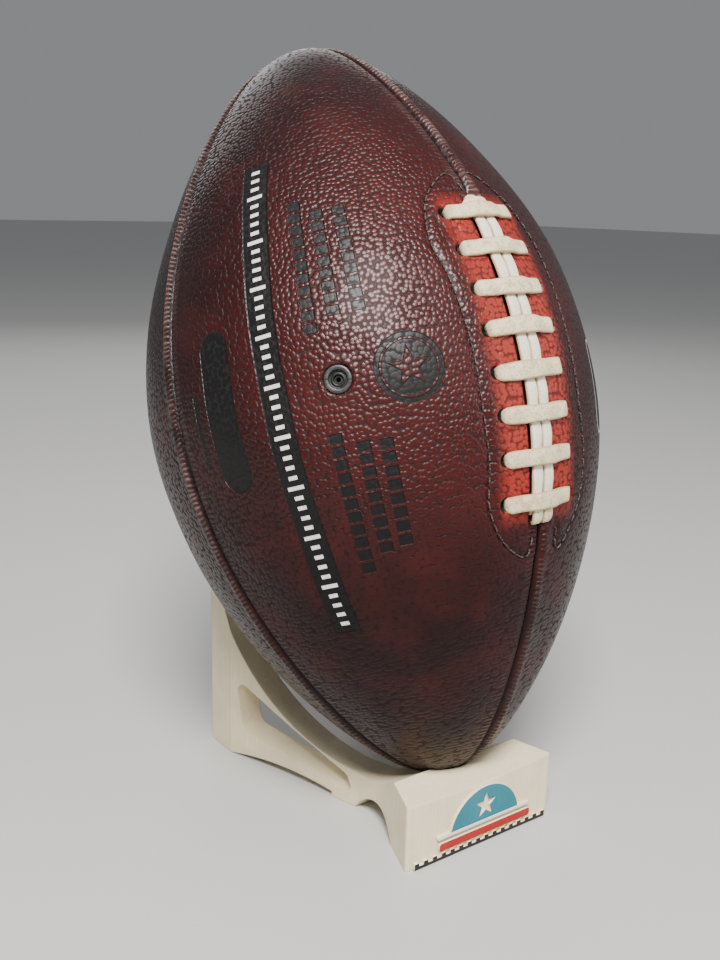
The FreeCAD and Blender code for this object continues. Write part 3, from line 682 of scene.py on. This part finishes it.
# Marks on the ball: azimuths in degrees from the laced seam, the rest in millimetres.
RULER_AZIMUTH, RULER_HEIGHT = -59.7, 0.6
RULER_HALF_WIDTH, RULER_HALF_LENGTH = 4.7, 80.5
TICK_PITCH = 3.3
TICKS_A_LONG_ONE = 5.0
SHORT_TICK_REACH, LONG_TICK_EXTRA, LAST_TICK = 1.55, 1.3, 78.5
BLOCK_ROWS = [  # azimuth, low end, high end, half width
    (-37.6, 19.5, 57.5, 2.1), (-43.2, 19.5, 57.5, 2.1), (-48.7, 15, 62.5, 2.1),
    (-37.5, -56, -21, 2.1), (-42.5, -57, -20.5, 2.1), (-48.1, -62.5, -16.5, 2.1),
    (-81.5, -18, 7, 1.1)]
ROUNDEL_AZIMUTH, ROUNDEL_HEIGHT = -29.6, -0.9
STAR_OUTER, STAR_INNER = 6.8, 2.8
PLATE_LEFT = (-74.0, -1.0, 27.0, 6.2)  # azimuth, height, half length, half width
PLATE_RIGHT = (37.0, -12.0, 17.5, 6.5)
STAMP_DEPTH = 0.55
STAMP_SMOOTHING = 0.72


def box_mask(graph, x, y, half_x, half_y, soft=0.25):
    """1 inside a box about 0, fading over a short distance."""
    in_x = graph.smooth(graph.absolute(x), half_x + soft, half_x - soft)
    in_y = graph.smooth(graph.absolute(y), half_y + soft, half_y - soft)
    return graph.times(in_x, in_y)


def offset_from(graph, spot, centre_azimuth, centre_height):
    """Millimetres round and along the ball from a point given in degrees and millimetres.

    A spot is the azimuth, the ball's radius and the height of the place being coloured."""
    azimuth, radius, height = spot
    turned = graph.minus(azimuth, centre_azimuth)
    return graph.times(graph.times(turned, radius), math.pi / 180), graph.minus(height, centre_height)


def off_centre(graph, cell):
    """Distance of a repeat's position, 0 to 1, from its middle."""
    return graph.absolute(graph.minus(graph.fraction(cell), 0.5))


def ruler_band(graph, spot):
    """Black band with a ruler of long and short white ticks."""
    x, y = offset_from(graph, spot, RULER_AZIMUTH, RULER_HEIGHT)
    band = box_mask(graph, x, y, RULER_HALF_WIDTH, RULER_HALF_LENGTH, 0.35)
    count = graph.over(graph.plus(y, 200 * TICK_PITCH), TICK_PITCH)
    tick = graph.smooth(off_centre(graph, count), 0.23, 0.15)
    number = graph.calc("FLOOR", count)
    is_long = graph.below(graph.calc("FLOORED_MODULO", number, TICKS_A_LONG_ONE), 0.5)
    reach = graph.plus(graph.times(is_long, LONG_TICK_EXTRA), SHORT_TICK_REACH)
    inside = graph.below(graph.absolute(x), reach)
    ends = graph.below(graph.absolute(y), LAST_TICK)
    ticks = graph.times(graph.times(tick, inside), ends)
    return band, graph.times(ticks, band)


def block_row(graph, spot, centre_azimuth, low, high, half_width):
    """Row of short sunk black blocks along the ball."""
    x, y = offset_from(graph, spot, centre_azimuth, (low + high) / 2)
    half = (high - low) / 2
    count = round(half / half_width * 0.98)
    cell = graph.times(graph.plus(y, half), count / (2 * half))
    block = graph.smooth(off_centre(graph, cell), 0.42, 0.34)
    return graph.times(box_mask(graph, x, y, half_width, half), block)


def star_mask(graph, x, y, outer, inner):
    """Five-pointed star with one point up, and the distance from its centre."""
    angle = graph.calc("ARCTAN2", x, y)
    folded = graph.calc("PINGPONG", graph.plus(angle, 2 * math.pi), math.pi / 5)
    reach = graph.distance(x, y)
    normal_x = inner * math.sin(math.pi / 5)
    normal_y = outer - inner * math.cos(math.pi / 5)
    size = math.hypot(normal_x, normal_y)
    side = graph.plus(graph.times(graph.calc("COSINE", folded), normal_x / size),
                      graph.times(graph.sine(folded), normal_y / size))
    gap = graph.scaled(reach, side, -outer * normal_x / size)
    return graph.smooth(gap, 0.25, -0.25), reach


def roundel(graph, spot):
    """Sunk black disc with a ring and a star left in leather."""
    x, y = offset_from(graph, spot, ROUNDEL_AZIMUTH, ROUNDEL_HEIGHT)
    star, reach = star_mask(graph, x, y, STAR_OUTER, STAR_INNER)
    disc = graph.smooth(reach, 11.6, 11.2)
    ring = graph.times(graph.smooth(reach, 8.8, 9.1), graph.smooth(reach, 9.9, 9.6))
    left_out = graph.larger(star, ring)
    return graph.times(disc, graph.minus(1.0, graph.times(left_out, 0.8)))


def oblong(graph, spot, centre_azimuth, centre_height, half_length, half_width):
    """Distance inside a rounded oblong, positive inside, in millimetres."""
    x, y = offset_from(graph, spot, centre_azimuth, centre_height)
    past = graph.larger(graph.minus(graph.absolute(y), half_length - half_width), 0.0)
    return graph.minus(half_width, graph.distance(x, past))


def left_marks(graph, spot, patchy):
    """Where the left panel is stamped, and how far each place is white."""
    stamped, ticks = ruler_band(graph, spot)
    for row in BLOCK_ROWS:
        stamped = graph.larger(stamped, block_row(graph, spot, *row))
    stamped = graph.larger(stamped, roundel(graph, spot))
    plate = graph.smooth(oblong(graph, spot, *PLATE_LEFT), -0.25, 0.25)
    return graph.larger(stamped, plate), graph.times(ticks, patchy)


def right_marks(graph, spot, patchy):
    """The same for the right panel: one plate with a white line round it, which isn't patchy."""
    inside = oblong(graph, spot, *PLATE_RIGHT)
    stamped = graph.smooth(inside, -0.3, 0.1)
    ring = graph.times(stamped, graph.smooth(inside, 0.9, 0.5))
    return stamped, graph.times(ring, 0.8)


# ---------------------------------------------------------------- leather
GRAIN_SCALE = 0.57
WRINKLE_SCALE = 0.72
WRINKLE_SQUASH = 0.42
WRINKLE_START, WRINKLE_END, WRINKLE_SHARE = -28, -85, 0.6
CELL_EDGE = 0.72
# Painted light on the body: an ellipse on the upper front, in degrees and millimetres, painted lighter
# as if lit and fading to painted shade away from it.
PAINTED_LIGHT_AZIMUTH, PAINTED_LIGHT_HEIGHT, PAINTED_LIGHT_HALF_WIDTH, PAINTED_LIGHT_HALF_HEIGHT = -20.0, 14.0, 52.0, 88.0
RIB_PITCH = 1.75
LEATHER_BUMP = 0.00042


def grain_cells(graph, across, along, height, place):
    """Distance into a pebble's cell, blended to long flat wrinkles low down, and that blend."""
    warp = graph.scaled(graph.noise(place, 90, 2), 1.8, -0.9)
    grain_at = graph.vector(graph.plus(across, warp), graph.minus(along, warp))
    cell = graph.voronoi(grain_at, GRAIN_SCALE, "SMOOTH_F1", "2D", 0.8, 0.16)
    wrinkle_at = graph.vector(graph.times(across, WRINKLE_SQUASH),
                              graph.scaled(graph.noise(place, 55, 3), 4.5, along))
    wrinkle = graph.voronoi(wrinkle_at, WRINKLE_SCALE, "SMOOTH_F1", "2D", 0.9, 0.2)
    low_part = graph.smooth(height, WRINKLE_START, WRINKLE_END, 0.0, WRINKLE_SHARE)
    cell = graph.plus(graph.times(cell, graph.minus(1.0, low_part)), graph.times(wrinkle, low_part))
    return cell, low_part


def body_colour(graph, azimuth, height, place, crease, low_part, blotch):
    """Maroon painted lighter on the upper front as painted light and darker away from it as painted
    shade, clouded at random, with painted shade in the creases.
    """
    cloud = graph.noise(place, 11, 4)
    # Painted light: lighter nearer the ellipse's middle on the upper front, painted shade away from it.
    painted_light_x = graph.over(graph.minus(azimuth, PAINTED_LIGHT_AZIMUTH), PAINTED_LIGHT_HALF_WIDTH)
    painted_light_y = graph.over(graph.minus(height, PAINTED_LIGHT_HEIGHT), PAINTED_LIGHT_HALF_HEIGHT)
    tone = graph.plus(graph.smooth(graph.distance(painted_light_x, painted_light_y), 1.4, 0.2, 0.0, 0.7),
                      graph.scaled(cloud, 0.5, -0.12))
    body = graph.mix(graph.smooth(tone, 0.05, 0.8), LEATHER_DARK, LEATHER_MID)
    body = graph.mix(graph.times(graph.smooth(blotch, 0.4, 0.75), 0.3), body, LEATHER_RED)
    # Painted shade in the grain's creases, weaker in the low wrinkled part.
    return graph.mix(graph.times(crease, graph.scaled(low_part, -0.6, 0.55)), body, LEATHER_CREASE_SHADE)


def lace_holes(graph, lace_arc, height):
    """Dark spots under the ends of the lace's bars."""
    row_gap = graph.minus(graph.calc("FLOORED_MODULO", graph.plus(height, BAR_PITCH * 10), BAR_PITCH),
                          BAR_PITCH / 2)
    x = graph.over(graph.minus(lace_arc, HOLE_REACH), HOLE_HALF_WIDTH)
    y = graph.over(graph.absolute(row_gap), HOLE_HALF_HEIGHT)
    in_rows = graph.below(graph.absolute(height), BAR_PITCH * BAR_COUNT / 2)
    return graph.times(graph.smooth(graph.distance(x, y), 1.12, 0.92), in_rows)


def leather_material(name, marks=None):
    """Pebbled leather with a red field round the lace, welts painted lighter as scuffing and painted
    highlight, painted light and shade over the body, painted shade in creases and grooves, and a panel's
    marks.
    """
    graph = Graph(name)
    across, along = graph.uv("grain")
    azimuth, height = graph.uv("place")
    seam_gap, radius = graph.uv("edge")
    lace_arc, lace_along = graph.uv("lace")
    wear_and_sheen_here, _ = graph.uv("wear_and_sheen_share", 1.0)
    place = graph.place()

    cell, low_part = grain_cells(graph, across, along, height, place)
    pebble = graph.minus(1.0, graph.calc("POWER", graph.over(cell, CELL_EDGE, clamp=True), 2.9))
    crease = graph.smooth(cell, 0.42, 0.64)
    relief = graph.smooth(graph.noise(place, 38, 3), 0.3, 0.72, 0.7, 1.0)
    tip = graph.smooth(graph.absolute(along), 112, 150)
    pebble_depth = graph.times(relief, graph.scaled(tip, -0.55, 1.0))
    pebble_depth = graph.times(pebble_depth, graph.smooth(seam_gap, 0.8, 5.0, 0.25, 1.0))

    field_arc = graph.scaled(graph.noise(place, 120, 2), 3.0, graph.minus(lace_arc, 1.5))
    field = graph.times(graph.smooth(field_arc, 20.0, 12.5),
                        graph.smooth(graph.absolute(lace_along), 60.5, 50.5))
    blotch = graph.noise(place, 46, 3, 0.6)
    body = body_colour(graph, azimuth, height, place, crease, low_part, blotch)
    # Painted shade in the creases of the red field round the lace.
    lace_field = graph.mix(graph.times(crease, 0.85), LACE_FIELD, LACE_FIELD_CREASE_SHADE)
    base = graph.mix(field, body, lace_field)

    rib_wave = graph.sine(graph.plus(graph.times(along, 2 * math.pi / RIB_PITCH),
                                     graph.times(graph.noise(place, 130, 2), 13.0)))
    # Seam welts painted lighter: partly scuffing of the leather, partly painted highlight on the ridges.
    welt = graph.times(graph.smooth(seam_gap, 0.7, 1.8), graph.smooth(seam_gap, 5.6, 3.6))
    welt = graph.times(welt, graph.smooth(radius, 8.0, 22.0))
    welt = graph.times(welt, graph.minus(1.0, field))
    wear_and_sheen = graph.times(welt, graph.smooth(graph.noise(place, 75, 3), 0.3, 0.6))
    wear_and_sheen = graph.times(wear_and_sheen, wear_and_sheen_here)
    wear_and_sheen = graph.times(wear_and_sheen, graph.smooth(rib_wave, -0.8, 0.9, 0.2, 0.9))
    # Less of the welts' lightening towards the bottom, as painted shade.
    wear_and_sheen = graph.times(wear_and_sheen, graph.smooth(height, -75, -20, 0.25, 1.0))
    base = graph.mix(graph.times(wear_and_sheen, 0.7), base, WORN_EDGE_AND_SHEEN)
    # Painted shade along the seam groove.
    base = graph.mix(graph.smooth(seam_gap, 1.0, 0.3), base, LEATHER_CREASE_SHADE)
    base = graph.mix(lace_holes(graph, lace_arc, height), base, HOLE_SHADE)
    opening = graph.smooth(lace_arc, OPENING_HALF_WIDTH + 0.2, OPENING_HALF_WIDTH - 0.5)
    opening = graph.times(opening, graph.smooth(graph.absolute(lace_along), 58, 56))
    base = graph.mix(opening, base, OPENING_SHADE)

    patchy = graph.smooth(graph.noise(place, 420, 2), 0.22, 0.5, 0.8, 1.0)
    stamped, white = marks(graph, (azimuth, radius, height), patchy) if marks else (0.0, 0.0)
    base = graph.mix(graph.times(stamped, patchy), base, INK)
    base = graph.mix(white, base, INK_WHITE)

    level = graph.times(graph.times(pebble, pebble_depth), graph.scaled(stamped, -STAMP_SMOOTHING, 1.0))
    level = graph.minus(level, graph.times(stamped, STAMP_DEPTH))
    level = graph.plus(level, graph.times(graph.times(rib_wave, welt), 0.55))
    fine = graph.times(graph.noise(place, 2600, 3, 0.7), 0.12)
    normal = graph.bump(graph.plus(level, fine), LEATHER_BUMP)
    rough = graph.plus(graph.scaled(crease, 0.3, 0.32), graph.scaled(blotch, 0.18, -0.09))
    rough = graph.plus(rough, graph.times(field, 0.1), clamp=True)
    rough = graph.plus(rough, graph.times(stamped, 0.14), clamp=True)
    shine = graph.smooth(height, 10, -80, 0.34, 0.14)
    return graph.finish(base, rough, normal, Specular_IOR_Level=shine, Coat_Weight=0.03,
                        Coat_Roughness=0.2)


# ---------------------------------------------------------------- lace, thread, rubber and cloth
LACE_BAR = (0.74, 0.64, 0.43)
LACE_STRAND = (0.84, 0.79, 0.66)
LACE_DIRT = (0.50, 0.36, 0.19)
LACE_SPECK = (0.38, 0.24, 0.11)
LACE_EDGE = (0.40, 0.25, 0.11)
CUP_SHADE = (0.004, 0.004, 0.004)


def lace_material():
    """Cream leather, stained and tan at the edges on the bars and cleaner on the strands."""
    graph = Graph("lace_cream_leather")
    along, _ = graph.uv("strap")
    _, across = graph.uv("strap", 1.0)
    strand, _ = graph.uv("tone", 1.0)
    place = graph.place()
    stain = graph.smooth(graph.noise(place, 260, 4, 0.65), 0.42, 0.72)
    speck = graph.smooth(graph.noise(place, 1300, 3, 0.6), 0.53, 0.66)
    edge = graph.smooth(graph.absolute(across), 0.68, 1.0)
    clean = graph.mix(strand, LACE_BAR, LACE_STRAND)
    dirt = graph.times(graph.times(stain, 0.8), graph.scaled(strand, -0.7, 1.0))
    base = graph.mix(dirt, clean, LACE_DIRT)
    base = graph.mix(graph.times(speck, graph.scaled(strand, -0.4, 0.75)), base, LACE_SPECK)
    base = graph.mix(graph.times(edge, 0.75), base, LACE_EDGE)
    weave_at = graph.vector(graph.times(along, 0.9), graph.times(across, 3.0))
    weave = graph.noise(weave_at, 2.0, 3, 0.6, "2D")
    level = graph.plus(graph.times(weave, 0.5), graph.times(graph.noise(place, 1900, 3, 0.7), 0.5))
    rough = graph.smooth(stain, 0, 1, 0.62, 0.8)
    normal = graph.bump(level, 0.00025, 0.9)
    return graph.finish(base, rough, normal, Specular_IOR_Level=0.35, Sheen_Weight=0.1)


def thread_material(name, dark, light, twist=1.1):
    """Twisted thread, one turn of its ply every twist millimetres."""
    graph = Graph(name)
    along, _ = graph.uv("strap")
    ply = graph.sine(graph.times(along, 2 * math.pi / twist))
    base = graph.mix(graph.smooth(graph.noise(graph.place(), 900, 2), 0.35, 0.7), dark, light)
    return graph.finish(base, graph.smooth(ply, -1, 1, 0.6, 0.45), graph.bump(ply, 0.0001, 0.8))


def rubber_material(name, base_colour, dusty, cup_radius=0.0):
    """Moulded rubber, darker inside a radius in millimetres."""
    graph = Graph(name)
    place = graph.place()
    cloud = graph.noise(place, 500, 4, 0.6)
    base = graph.mix(graph.smooth(cloud, 0.45, 0.8), base_colour, dusty)
    if cup_radius:
        reach, _ = graph.uv("reach")
        base = graph.mix(graph.smooth(reach, cup_radius, cup_radius - 0.3), base, CUP_SHADE)
    level = graph.plus(graph.noise(place, 2400, 3), graph.times(cloud, 0.5))
    return graph.finish(base, graph.smooth(cloud, 0.3, 0.7, 0.32, 0.55), graph.bump(level, 0.00006, 0.6))


def cloth_material(name, warp_colour, weft_colour, pitch):
    """Plain weave from two crossed waves; the pitch is in metres."""
    graph = Graph(name)
    x, y, z = graph.place_parts()
    turns = 2 * math.pi / pitch
    round_wave = graph.sine(graph.times(graph.plus(x, y), turns))
    up_wave = graph.sine(graph.times(z, turns))
    weave = graph.times(round_wave, up_wave)
    base = graph.mix(graph.smooth(weave, -0.4, 0.4), warp_colour, weft_colour)
    return graph.finish(base, graph.smooth(weave, -1, 1, 0.95, 0.8), graph.bump(weave, 0.0003, 0.7))


# ---------------------------------------------------------------- printed plastic
LAYER_PITCH = 0.0005
STREAK_SCALE = (1000, 1000, 16)
SOFT_EDGE_RADIUS = 0.0009
FACE_DEPTH = 0.0003
PRINT_SHADE = 0.86
PRINT_GRIME = (0.42, 0.33, 0.21)
PRINT_SPECK = (0.25, 0.17, 0.1)


def print_material(name, top_colour, side_colour=None, front=0.0):
    """Matte printed plastic with fine streaks; a coloured piece has its colour on its foremost face."""
    graph = Graph(name)
    place = graph.place()
    _, place_y, place_z = graph.place_parts()
    lines = graph.sine(graph.times(place_z, 2 * math.pi / LAYER_PITCH))
    stretched = graph.node("ShaderNodeMapping")
    graph.put(stretched.inputs["Vector"], place)
    stretched.inputs["Scale"].default_value = STREAK_SCALE
    streak = graph.noise(stretched.outputs[0], 1.0, 3)
    cloud = graph.noise(place, 55, 4, 0.6)
    shade = tuple(PRINT_SHADE * part for part in top_colour)
    base = graph.mix(graph.smooth(cloud, 0.35, 0.7), top_colour, shade)
    base = graph.mix(graph.times(graph.smooth(streak, 0.4, 0.62), 0.5), base, shade)
    if side_colour is not None:
        facing = graph.node("ShaderNodeSeparateXYZ")
        graph.put(facing.inputs[0], graph.node("ShaderNodeTexCoord").outputs["Normal"])
        foremost = graph.times(graph.smooth(facing.outputs[1], -0.55, -0.85),
                               graph.below(place_y, front + FACE_DEPTH))
        base = graph.mix(foremost, side_colour, base)
    else:
        grime = graph.smooth(graph.noise(place, 230, 5, 0.7), 0.56, 0.8)
        speck = graph.smooth(graph.voronoi(place, 260, "F1"), 0.06, 0.03)
        base = graph.mix(graph.times(grime, 0.22), base, PRINT_GRIME)
        base = graph.mix(graph.times(speck, 0.5), base, PRINT_SPECK)
    bevel = graph.node("ShaderNodeBevel", samples=6)
    bevel.inputs["Radius"].default_value = SOFT_EDGE_RADIUS
    rough_skin = graph.plus(graph.times(streak, 0.9), graph.times(graph.noise(place, 1500, 2), 0.35))
    level = graph.plus(graph.times(lines, 0.22), rough_skin)
    rough = graph.smooth(cloud, 0.3, 0.7, 0.5, 0.68)
    normal = graph.bump(level, 0.00011, 0.8, bevel.outputs[0])
    return graph.finish(base, rough, normal, Specular_IOR_Level=0.4, Subsurface_Weight=0.04,
                        Subsurface_Radius=(0.004, 0.003, 0.002))


def dress(name, material):
    """Gives a carried-over CAD node its material."""
    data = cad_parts[name].data
    data.materials.clear()
    data.materials.append(material)


# ---------------------------------------------------------------- stage
FLOOR_HALF = 9.0
SCENE_MIDDLE = (0, 0, 0.14)
LAMPS = [  # name, place, size, power, tint
    ("key", (-0.45, -0.62, 1.05), (0.42, 0.34), 34, (1, 0.975, 0.94)),
    ("fill", (0.9, -0.9, 0.55), (1.0, 0.8), 6.5, (0.96, 0.98, 1)),
    ("back", (0.5, 1.2, 0.8), (1.0, 0.6), 4.5, (1, 1, 1))]
WORLD_TINT, WORLD_STRENGTH = (0.90, 0.92, 0.95, 1), 0.27
CAMERA_SIDE, CAMERA_OUT, CAMERA_HEIGHT = -0.2525, 0.2579, 0.2304
CAMERA_FORWARD, CAMERA_RIGHT = (0.579, 0.776, -0.25), (0.805, -0.592, 0.025)
CAMERA_SENSOR, CAMERA_LENS, CAMERA_CLIP = 36.0, 40.54, 0.01


def build_floor():
    """Plain pale floor under the object."""
    size = FLOOR_HALF
    points = [(-size, -size, 0), (size, -size, 0), (size, size, 0), (-size, size, 0)]
    floor = make_object("floor", points, [(0, 1, 2, 3)], smooth=False)
    graph = Graph("floor_pale")
    cloud = graph.noise(graph.place(), 3.0, 3)
    base = graph.mix(cloud, (0.52, 0.516, 0.508), (0.55, 0.546, 0.538))
    floor.data.materials.append(graph.finish(base, 0.55))


def area_light(name, place, size, power, tint):
    """Rectangular lamp turned to the middle of the scene."""
    lamp = bpy.data.lights.new(name, "AREA")
    lamp.shape = "RECTANGLE"
    lamp.size, lamp.size_y = size
    lamp.energy = power
    lamp.color = tint
    made = bpy.data.objects.new(name, lamp)
    made.location = place
    made.rotation_euler = (Vector(SCENE_MIDDLE) - Vector(place)).to_track_quat("-Z", "Y").to_euler()
    bpy.context.scene.collection.objects.link(made)


def build_lights():
    """Even studio light and three soft lamps."""
    world = bpy.data.worlds.new("studio")
    world.use_nodes = True
    background = world.node_tree.nodes["Background"]
    background.inputs["Color"].default_value = WORLD_TINT
    background.inputs["Strength"].default_value = WORLD_STRENGTH
    bpy.context.scene.world = world
    for lamp in LAMPS:
        area_light(*lamp)


def build_camera():
    """Camera of the main view: in front, to the left and a little above."""
    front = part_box("stand")[0].y
    place = Vector((CAMERA_SIDE, front - CAMERA_OUT, CAMERA_HEIGHT))
    forward = Vector(CAMERA_FORWARD).normalized()
    right = Vector(CAMERA_RIGHT)
    right = (right - forward * right.dot(forward)).normalized()
    up = right.cross(forward)
    data = bpy.data.cameras.new("camera")
    data.sensor_width = CAMERA_SENSOR
    data.lens = CAMERA_LENS
    data.clip_start = CAMERA_CLIP
    made = bpy.data.objects.new("camera", data)
    made.matrix_world = Matrix.Translation(place) @ Matrix((right, up, -forward)).transposed().to_4x4()
    bpy.context.scene.collection.objects.link(made)
    bpy.context.scene.camera = made


# ---------------------------------------------------------------- everything together
IVORY = (0.86, 0.75, 0.52)
EMBLEM = {
    "emblem_medallion": ("emblem_teal", (0.020, 0.20, 0.26)),
    "emblem_plinth": ("emblem_white", (0.86, 0.85, 0.80)),
    "emblem_bar": ("emblem_red", (0.42, 0.010, 0.010)),
    "emblem_base_strip": ("emblem_black", (0.012, 0.012, 0.013)),
}

plain_leather = leather_material("ball_leather_plain")
left_leather = leather_material("ball_leather_left", left_marks)
right_leather = leather_material("ball_leather_right", right_marks)
leathers = [left_leather, right_leather, plain_leather, plain_leather]
for number, (panel_name, leather) in enumerate(zip(PANELS, leathers)):
    build_panel(number, panel_name).data.materials.append(leather)

thread = thread_material("stitch_black", (0.010, 0.009, 0.009), (0.075, 0.065, 0.058))
rim_rubber = rubber_material("valve_grey_rubber", (0.024, 0.025, 0.026), (0.05, 0.052, 0.055),
                             CUP_RADIUS)
build_lace().data.materials.append(lace_material())
build_stitches().data.materials.append(thread)
build_valve().data.materials.append(rim_rubber)

dress("valve_core", rubber_material("valve_core_rubber", (0.007, 0.007, 0.007), (0.02, 0.02, 0.02)))
dress("bladder", rubber_material("bladder_rubber", (0.02, 0.02, 0.02), (0.06, 0.06, 0.06)))
cloth = cloth_material("lining_weave", (0.62, 0.58, 0.48), (0.72, 0.69, 0.6), 0.0016)
for corner in ("front_left", "front_right", "rear_right", "rear_left"):
    dress("lining_" + corner, cloth)
dress("seam_threads", cloth_material("seam_thread", (0.05, 0.02, 0.015), (0.1, 0.04, 0.03), 0.0008))
facing = cloth_material("facing_hide", (0.30, 0.15, 0.07), (0.38, 0.2, 0.1), 0.0025)
for hand in ("left", "right"):
    dress("lace_facing_" + hand, facing)

dress("stand", print_material("stand_ivory_print", IVORY))
for node_name, (material_name, face_colour) in EMBLEM.items():
    dress(node_name, print_material(material_name, face_colour, IVORY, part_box(node_name)[0].y))

build_floor()
build_lights()
build_camera()
